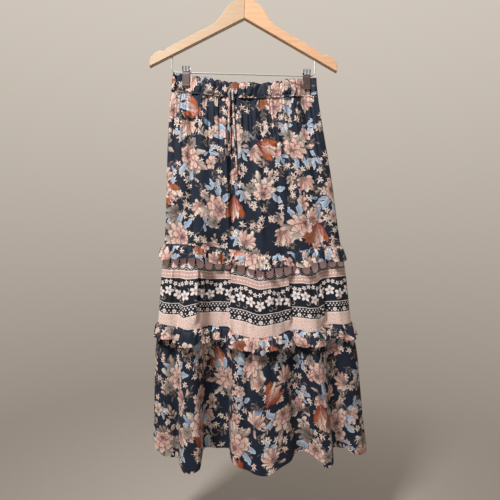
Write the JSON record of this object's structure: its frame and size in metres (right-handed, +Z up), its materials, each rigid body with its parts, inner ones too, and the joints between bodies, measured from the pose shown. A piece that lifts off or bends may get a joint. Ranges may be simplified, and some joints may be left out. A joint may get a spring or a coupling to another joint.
{
  "type": "tiered maxi skirt on a wooden clip hanger",
  "caption": "Long tiered skirt with an elastic drawstring waist and gathered frills, clipped to the bar of a wooden hanger.",
  "frame": {"origin": "the inner top of the hanger's hook, where it rests on a rail", "axes": "+Z up, along the hanging skirt; +X to the right as seen from the front; the front faces -Y"},
  "size_m": [0.517, 0.1174, 1.1749],
  "materials": {
    "floral_cloth": "soft matte woven viscose with a floral print on dark blue",
    "border_cloth": "soft matte woven viscose with a banded border print",
    "pale_wood": "satin clear varnish",
    "warm_wood": "satin clear varnish",
    "chrome": "polished plated steel"
  },
  "bodies": {
    "root": {"waistband_front": "floral_cloth", "waistband_back": "floral_cloth", "top_tier_front": "floral_cloth", "top_tier_back": "floral_cloth", "upper_ruffle_front": "floral_cloth", "upper_ruffle_back": "floral_cloth", "middle_tier_front": "border_cloth", "middle_tier_back": "border_cloth", "lower_ruffle_front": "floral_cloth", "lower_ruffle_back": "floral_cloth", "bottom_tier_front": "floral_cloth", "bottom_tier_back": "floral_cloth", "drawstring_left": "floral_cloth", "drawstring_left_knot": "floral_cloth", "drawstring_right": "floral_cloth", "drawstring_right_knot": "floral_cloth", "hanger_arm_left": "pale_wood", "hanger_arm_right": "warm_wood", "hook": "chrome", "bar": "chrome", "clip_left_spring": "chrome", "clip_left_front_jaw": "chrome", "clip_left_back_jaw": "chrome", "clip_right_spring": "chrome", "clip_right_front_jaw": "chrome", "clip_right_back_jaw": "chrome"}
  },
  "joints": []
}
